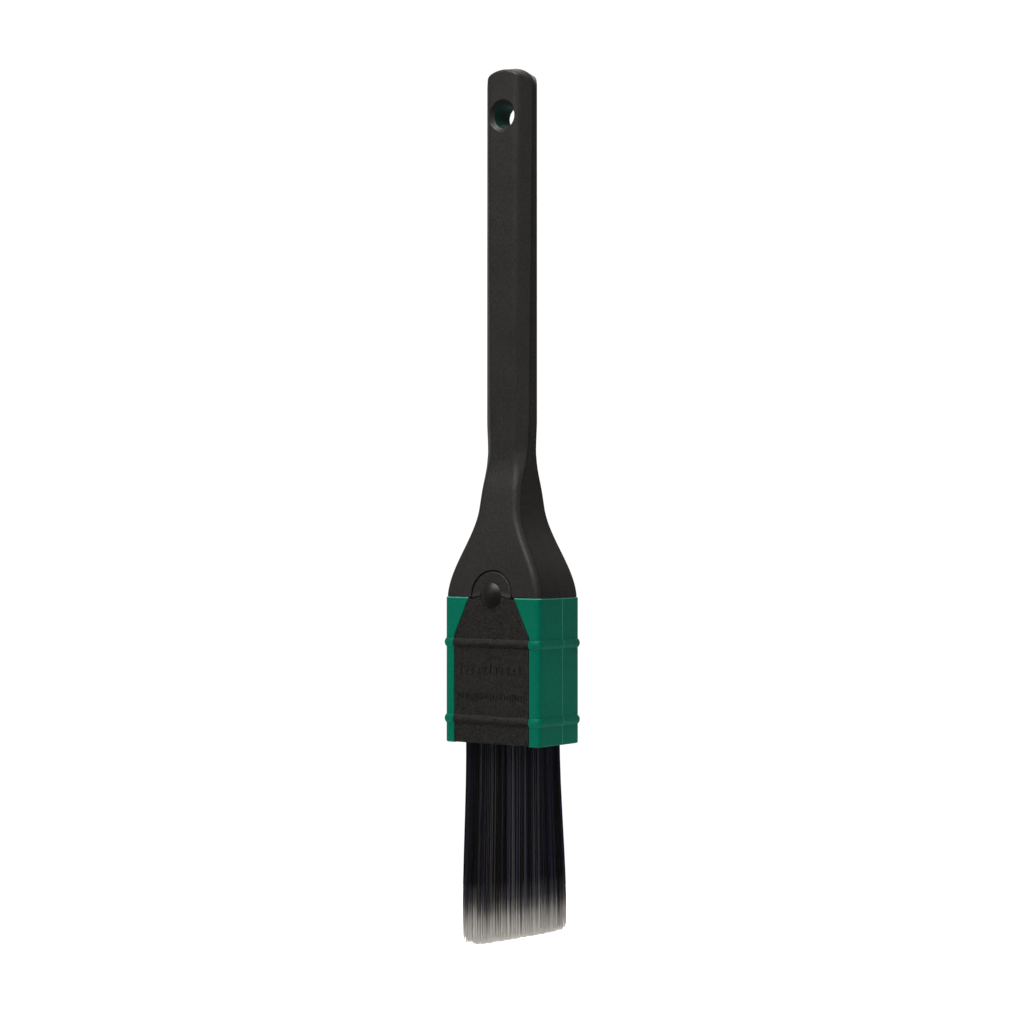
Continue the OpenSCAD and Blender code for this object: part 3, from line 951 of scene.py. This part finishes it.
def filament_mesh(rng):
    """Tapered tubes along the filament paths, as arrays of points, faces and attributes."""
    paths, tone, blue, fade_z = filament_paths(rng)
    levels, count, _ = paths.shape
    taper = np.interp(np.linspace(0, 1, levels), *TAPER_TO_TIP)
    radius = FILAMENT_RADIUS * rng.uniform(0.8, 1.15, count)
    turn = rng.uniform(0, 2 * math.pi, count)
    sides = FILAMENT_SIDES
    points = np.zeros((levels, count, sides, 3))
    for s in range(sides):
        angle = turn + 2 * math.pi * s / sides
        points[:, :, s, 0] = paths[:, :, 0] + taper[:, None] * radius * np.cos(angle)
        points[:, :, s, 1] = paths[:, :, 1] + taper[:, None] * radius * np.sin(angle)
        points[:, :, s, 2] = paths[:, :, 2]
    index = np.arange(levels * count * sides).reshape(levels, count, sides)
    here, after = index, np.roll(index, -1, axis=2)
    quads = np.stack([here[:-1], after[:-1], after[1:], here[1:]], axis=-1).reshape(-1, 4)
    pale = np.interp(fade_z[None, :] - paths[:, :, 2], *PALE_STEPS)
    looks = {"pale": pale[:, :, None], "tone": tone[None, :, None], "blue": blue[None, :, None]}
    per_point = {name: np.broadcast_to(values, index.shape).ravel()
                 for name, values in looks.items()}
    ends = [index[0][:, ::-1], index[-1]]
    return points.reshape(-1, 3), quads[:, ::-1], ends, per_point


def bristle_filaments():
    points, quads, ends, per_point = filament_mesh(np.random.default_rng(SEED))
    faces = quads.tolist()
    for end in ends:
        faces += end[:, ::-1].tolist()
    mesh = bpy.data.meshes.new("bristle_filaments")
    mesh.from_pydata((points * MM).tolist(), [], faces)
    mesh.shade_smooth()
    for name, values in per_point.items():
        attribute = mesh.attributes.new(name, "FLOAT", "POINT")
        attribute.data.foreach_set("value", values.astype(np.float32))
    obj = add_object("bristle_filaments", mesh)
    obj.data.materials.append(filament_material())
    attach(obj, "head")
    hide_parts("bristles")


def bristle_heart():
    """The dark mass in the middle of the bristle pack, which no light passes."""
    rings = []
    for t in np.linspace(0, 1, 12):
        half_w, half_d = spread_at(t * HEART_END)
        shrink = HEART_INSET + 2.5 * smooth((t - 0.8) / 0.2)
        z = mix(SPACER_BOTTOM_Z - 0.4, MOUTH_Z + (SHORT_TIP_Z - MOUTH_Z) * HEART_END, t)
        ring = rect_ring(half_w - shrink, half_d - shrink, z, 1.5)
        rings.append([(x + BRISTLE_SHIFT + BRISTLE_LEAN * t * HEART_END, y, h)
                      for x, y, h in ring])
    obj = loft("bristle_heart", rings, smooth_angle=60)
    obj.data.materials.append(heart_material())
    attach(obj, "head")


# --- materials


def add_node(tree, kind, **values):
    node = tree.nodes.new(kind)
    for key, value in values.items():
        setattr(node, key, value)
    return node


def set_inputs(node, **values):
    """Sets sockets by their names, written with underscores for spaces."""
    for name, value in values.items():
        node.inputs[name.replace("_", " ")].default_value = value


class Nodes:
    """A small helper that builds one node material."""

    def __init__(self, name):
        self.material = bpy.data.materials.new(name)
        self.material.use_nodes = True
        self.tree = self.material.node_tree
        self.shader = self.tree.nodes["Principled BSDF"]
        self.place = self.add("ShaderNodeTexCoord").outputs["Object"]

    def add(self, kind, **values):
        return add_node(self.tree, kind, **values)

    def link(self, source, target):
        self.tree.links.new(source, target)

    def noise(self, scale, detail=3.0, roughness=0.55, stretch=None):
        """Noise over the piece. The scale counts features in a millimetre."""
        node = self.add("ShaderNodeTexNoise")
        set_inputs(node, Scale=scale / MM, Detail=detail, Roughness=roughness)
        where = self.place
        if stretch is not None:
            mapping = self.add("ShaderNodeMapping")
            set_inputs(mapping, Scale=stretch)
            self.link(where, mapping.inputs["Vector"])
            where = mapping.outputs["Vector"]
        self.link(where, node.inputs["Vector"])
        return node.outputs["Fac"]

    def uneven(self, scale, detail, low, high):
        """Noise spread over a range of values."""
        return self.map(self.noise(scale, detail), 0.3, 0.7, low, high)

    def map(self, source, low, high, to_low, to_high):
        node = self.add("ShaderNodeMapRange")
        set_inputs(node, From_Min=low, From_Max=high, To_Min=to_low, To_Max=to_high)
        self.link(source, node.inputs["Value"])
        return node.outputs["Result"]

    def blend(self, factor, first, second):
        """Mixes two colours, or two colour outputs, by a factor."""
        node = self.add("ShaderNodeMix", data_type="RGBA")
        for socket, value in ((node.inputs[6], first), (node.inputs[7], second)):
            if isinstance(value, tuple):
                socket.default_value = (*value, 1.0)
            else:
                self.link(value, socket)
        self.link(factor, node.inputs[0])
        return node.outputs[2]

    def attribute(self, name):
        return self.add("ShaderNodeAttribute", attribute_name=name).outputs["Fac"]

    def along(self, axis="Z"):
        """Place along an axis, in metres: along Z it is the height."""
        split = self.add("ShaderNodeSeparateXYZ")
        self.link(self.place, split.inputs["Vector"])
        return split.outputs[axis]

    def maths(self, operation, first, second):
        """Combines two numbers, or two number outputs."""
        node = self.add("ShaderNodeMath", operation=operation)
        for socket, value in zip(node.inputs, (first, second)):
            if isinstance(value, (int, float)):
                socket.default_value = value
            else:
                self.link(value, socket)
        return node.outputs[0]

    def mottle(self):
        """Broad clouds with fine specks, from 0 to 1."""
        clouds = self.uneven(0.05, 4, 0, 0.4)
        specks = self.map(self.noise(1.5, 2, 0.7), 0.36, 0.64, 0, 0.6)
        return self.maths("ADD", clouds, specks)

    def finished(self, colour, roughness, relief=None, depth_mm=0.0, **values):
        """The material with its colour, roughness and bump, and with other sockets set."""
        self.link(colour, self.shader.inputs["Base Color"])
        self.link(roughness, self.shader.inputs["Roughness"])
        if relief is not None:
            bump = self.add("ShaderNodeBump")
            set_inputs(bump, Distance=depth_mm * MM, Strength=1.0)
            self.link(relief, bump.inputs["Height"])
            self.link(bump.outputs["Normal"], self.shader.inputs["Normal"])
        set_inputs(self.shader, **values)
        return self.material


PAINTED_HIGHLIGHT_GREEN = (0.12, 0.42, 0.32)
PAINTED_TIP_GLOW = 0.075  # painted glow: the pale filament tips give off a little light of their own, filling in the shade between them
RIPPLES = 6.0


def plastic(name, dark, light, rough_low, rough_high, grain, grain_depth, **values):
    """Moulded plastic: cloudy colour, uneven gloss, and a fine moulded grain."""
    m = Nodes(name)
    return m.finished(m.blend(m.mottle(), dark, light), m.uneven(0.25, 4, rough_low, rough_high),
                      m.noise(grain, 2, 0.6), grain_depth, **values)


def grip_plastic():
    return plastic("grip_plastic", (0.006, 0.0053, 0.0048), (0.019, 0.017, 0.0157),
                   0.44, 0.54, 1.5, 0.05)


def button_plastic():
    return plastic("button_plastic", (0.004, 0.0036, 0.0033), (0.006, 0.0055, 0.005),
                   0.34, 0.44, 1.8, 0.03, Specular_IOR_Level=0.46)


def green_plastic():
    """The ferrule's green plastic, with painted highlights along its thin rim and its parting
    lines.
    """
    m = Nodes("green_plastic")
    green = m.blend(m.mottle(), (0.0004, 0.096, 0.057), (0.001, 0.132, 0.081))
    # painted highlight: a pale band along the ferrule's top rim, where light catches its rounded
    # edge
    rim = m.map(m.along(), (FERRULE_TOP_Z - 0.5) * MM, (FERRULE_TOP_Z - 0.3) * MM, 0, 0.55)
    green = m.blend(rim, green, PAINTED_HIGHLIGHT_GREEN)
    # painted highlight: a pale line along the flash on each side, where light catches the ridge
    across = m.maths("ABSOLUTE", m.along("X"), 0.0)
    side = m.map(across, (FERRULE_HALF_W - 0.1) * MM, FERRULE_HALF_W * MM, 0, 1)
    offset = m.maths("ABSOLUTE", m.maths("SUBTRACT", m.along("Y"), FLASH_Y * MM), 0.0)
    line = m.map(offset, 0.1 * MM, 0.2 * MM, 0.3, 0)
    green = m.blend(m.maths("MULTIPLY", side, line), green, PAINTED_HIGHLIGHT_GREEN)
    return m.finished(green, m.uneven(0.25, 4, 0.42, 0.52), m.noise(1.4, 2, 0.6), 0.03,
                      Specular_Tint=(0.1, 0.75, 0.6, 1.0), Specular_IOR_Level=0.36)


def textured_plastic():
    """The plate's spark-eroded texture, which ends at the smoother round upper end; that end is
    also painted lighter, as if lit from above.
    """
    m = Nodes("textured_plastic")
    above = m.map(m.along(), (CREASE_Z - 0.2) * MM, (CREASE_Z + 0.2) * MM, 0, 1)
    specks = m.blend(m.map(m.noise(1.8, 2, 0.7), 0.38, 0.62, 0, 1),
                     (0.001, 0.0008, 0.0007), (0.0185, 0.017, 0.0158))
    # painted light: the upper end's colour is lighter, standing in for its leaning face catching
    # more light from above
    colour = m.blend(m.map(above, 0, 1, 0, 0.75), specks, (0.0165, 0.0155, 0.0145))
    rough = m.add("ShaderNodeMix", data_type="FLOAT")
    m.link(above, rough.inputs[0])
    m.link(m.uneven(1.2, 3, 0.54, 0.68), rough.inputs[2])
    m.link(m.uneven(0.5, 3, 0.38, 0.46), rough.inputs[3])
    grain = m.maths("MULTIPLY", m.noise(1.5, 3, 0.75), m.map(above, 0, 1, 1, 0.5))
    return m.finished(colour, rough.outputs[0], grain, 0.4, Specular_IOR_Level=0.34)


def filament_material():
    """Dark filaments, some blue and some grey, that turn ivory towards their tips, where they glow
    faintly as painted light.
    """
    m = Nodes("filament")
    dark = m.blend(m.map(m.attribute("blue"), 0.5, 0.88, 0, 1),
                   (0.0045, 0.0042, 0.0042), (0.014, 0.016, 0.044))
    greyed = m.blend(m.map(m.attribute("tone"), 0.5, 0.9, 0, 0.85), dark, (0.06, 0.056, 0.06))
    ivory = m.blend(m.attribute("tone"), (0.36, 0.35, 0.33), (0.42, 0.405, 0.375))
    colour = m.blend(m.attribute("pale"), greyed, ivory)
    # painted glow: emission that rises with the pale share, so the tips light up without a lamp
    m.link(m.map(m.attribute("pale"), 0.3, 1, 0, PAINTED_TIP_GLOW), m.shader.inputs["Emission Strength"])
    return m.finished(colour, m.uneven(0.4, 2, 0.3, 0.42), m.noise(3.0, 2, 0.5, (1, 1, 0.05)),
                      0.01, Specular_IOR_Level=0.25, Emission_Color=(1, 0.97, 0.92, 1))


def heart_material():
    m = Nodes("filament_heart")
    colour = m.blend(m.noise(1.5, 3, 0.6, (1, 1, 0.03)), (0.002, 0.002, 0.003),
                     (0.008, 0.008, 0.014))
    return m.finished(colour, m.uneven(1.0, 2, 0.6, 0.8),
                      m.noise(2.2, 2, 0.5, (1, 1, 0.03)), 0.1)


def core_plastic():
    """The core's green plastic, with the fine ripples a mould pin leaves in its hole; its green is
    set darker than the ferrule's as painted shade inside the hanging hole.
    """
    m = Nodes("core_plastic")
    # painted shade: a much darker green than the ferrule's, standing in for the shade inside the
    # hanging hole
    colour = m.blend(m.uneven(0.05, 4, 0, 1), (0.0006, 0.034, 0.024), (0.0009, 0.044, 0.032))
    ripple = m.maths("SINE", m.maths("MULTIPLY", m.along("Y"), RIPPLES / MM), 0.0)
    near_hole = m.map(m.along(), -7.5 * MM, -6.5 * MM, 0, 0.5)
    relief = m.maths("ADD", m.maths("MULTIPLY", ripple, near_hole), m.noise(2.2, 2))
    return m.finished(colour, m.uneven(0.25, 4, 0.4, 0.52), relief, 0.03,
                      Specular_Tint=(0.05, 0.75, 0.6, 1.0), Specular_IOR_Level=0.3)


def brushed_steel():
    m = Nodes("brushed_steel")
    streaks = m.noise(4.0, 4, 0.6, (1, 1, 0.06))
    colour = m.blend(streaks, (0.46, 0.47, 0.49), (0.66, 0.67, 0.69))
    return m.finished(colour, m.map(streaks, 0.3, 0.7, 0.22, 0.38), streaks, 0.008, Metallic=1.0)


def spacer_wood():
    m = Nodes("spacer_wood")
    rings = m.add("ShaderNodeTexWave")
    set_inputs(rings, Scale=0.18 / MM, Distortion=5.0, Detail=3.0)
    m.link(m.place, rings.inputs["Vector"])
    colour = m.blend(rings.outputs["Fac"], (0.36, 0.2, 0.09), (0.56, 0.36, 0.18))
    return m.finished(colour, m.uneven(0.8, 3, 0.6, 0.78), m.noise(2.0, 3, 0.6, (1, 0.1, 1)), 0.04)


def cured_resin():
    m = Nodes("cured_resin")
    colour = m.blend(m.noise(0.3, 4), (0.3, 0.16, 0.05), (0.5, 0.3, 0.12))
    return m.finished(colour, m.uneven(0.8, 3, 0.2, 0.35), m.noise(0.5, 2), 0.05,
                      Transmission_Weight=0.15)


def finish_cad_nodes():
    """Gives the carried-over CAD nodes their materials."""
    finishes = {"handle_core": core_plastic(), "snap_clip": brushed_steel(),
                "bristle_spacer": spacer_wood(), "epoxy_set": cured_resin()}
    finishes["button_retainer"] = finishes["snap_clip"]
    for node, material in finishes.items():
        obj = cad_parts[node]
        obj.data.materials.clear()
        obj.data.materials.append(material)


# --- stage and camera

VIEW_AZIMUTH = math.radians(37)
VIEW_DISTANCE = 0.850
VIEW_DROP = 0.00125
LENS = 87.3
FLOOR_RADIUS = 0.35
FLOOR_SIDES = 64
HEAD_TRAVEL = 0.03
ROOM_LIGHT = 0.07
BACKDROP_LIGHT = 0.4
LIT_POINT = (0, 0, -0.14)


def studio_floor():
    """A plain pale floor, just below where the bristles reach with the head slid off."""
    radius, low = FLOOR_RADIUS, cad_box[0][2] - HEAD_TRAVEL - 0.001
    points = [(radius * math.cos(a) / MM, radius * math.sin(a) / MM, low / MM)
              for a in np.linspace(0, 2 * math.pi, FLOOR_SIDES, endpoint=False)]
    floor = make_object("floor", points, [tuple(range(FLOOR_SIDES))])
    m = Nodes("floor_paper")
    colour = m.blend(m.noise(0.002, 2), (0.93, 0.93, 0.93), (0.95, 0.95, 0.95))
    floor.data.materials.append(m.finished(colour, m.uneven(0.01, 2, 0.75, 0.85),
                                           Emission_Color=(1, 1, 1, 1), Emission_Strength=0.85))
    floor.visible_glossy = False


def softbox(name, azimuth, distance, height, size, power, colour=(1, 1, 1)):
    """A soft rectangular light, its azimuth in degrees measured as the camera's is."""
    light = bpy.data.lights.new(name, "AREA")
    light.shape = "RECTANGLE"
    light.size, light.size_y = size
    light.energy = power
    light.color = colour
    obj = add_object(name, light)
    a = math.radians(azimuth)
    obj.location = (distance * math.sin(a), -distance * math.cos(a), height)
    direction = Vector(LIT_POINT) - obj.location
    obj.rotation_euler = direction.to_track_quat("-Z", "Y").to_euler()


def graded_surroundings(tree, background):
    """Lights the scene from a pale backdrop behind the brush and a dark room in front."""
    where = tree.nodes.new("ShaderNodeTexCoord").outputs["Generated"]
    towards = add_node(tree, "ShaderNodeVectorMath", operation="DOT_PRODUCT")
    towards.inputs[1].default_value = (-math.sin(VIEW_AZIMUTH), math.cos(VIEW_AZIMUTH), 0)
    tree.links.new(where, towards.inputs[0])
    grade = add_node(tree, "ShaderNodeMapRange", interpolation_type="SMOOTHSTEP")
    set_inputs(grade, From_Min=0.0, From_Max=0.8, To_Min=ROOM_LIGHT, To_Max=BACKDROP_LIGHT)
    tree.links.new(towards.outputs["Value"], grade.inputs["Value"])
    tree.links.new(grade.outputs["Result"], background.inputs["Strength"])


def studio_lights():
    """White where the camera sees past the brush, graded light around it, and softboxes."""
    world = bpy.data.worlds.new("studio")
    bpy.context.scene.world = world
    world.use_nodes = True
    tree, link = world.node_tree, world.node_tree.links.new
    background = tree.nodes["Background"]
    set_inputs(background, Color=(1.0, 0.985, 0.97, 1))
    graded_surroundings(tree, background)
    seen = tree.nodes.new("ShaderNodeBackground")
    set_inputs(seen, Color=(1, 1, 1, 1), Strength=1.05)
    path = tree.nodes.new("ShaderNodeLightPath")
    mixer = tree.nodes.new("ShaderNodeMixShader")
    link(path.outputs["Is Camera Ray"], mixer.inputs["Fac"])
    link(background.outputs[0], mixer.inputs[1])
    link(seen.outputs[0], mixer.inputs[2])
    link(mixer.outputs[0], tree.nodes["World Output"].inputs["Surface"])
    softbox("key", -2, 0.6, 0.7, (0.9, 0.7), 11, (1, 0.965, 0.935))
    softbox("overhead", 20, 0.25, 0.95, (0.5, 0.5), 4.5, (1, 0.97, 0.94))
    softbox("front", -30, 1.3, 0.2, (0.7, 0.8), 0.8, (1, 0.96, 0.93))
    softbox("side", 52, 1.2, 0.15, (0.5, 0.8), 0.8)
    softbox("back", 207, 1.1, 0.4, (0.9, 0.9), 3.5)


def camera():
    """A level camera to the right of the brush's front."""
    centre = (cad_box[0] + cad_box[1]) / 2
    target = Vector((0, 0, centre.z - VIEW_DROP))
    back = Vector((math.sin(VIEW_AZIMUTH), -math.cos(VIEW_AZIMUTH), 0))
    data = bpy.data.cameras.new("camera")
    data.lens = LENS
    data.sensor_width = 36
    obj = add_object("camera", data)
    obj.location = target + back * VIEW_DISTANCE
    obj.rotation_euler = (-back).to_track_quat("-Z", "Y").to_euler()
    bpy.context.scene.camera = obj
    bpy.context.scene.view_settings.view_transform = "Standard"


# --- build

grip_shell("front_grip", "grip_front", 1)
grip_shell("rear_grip", "grip_rear", -1)
ferrule()
front_plate()
release_button()
bristle_filaments()
bristle_heart()
finish_cad_nodes()
studio_floor()
studio_lights()
camera()
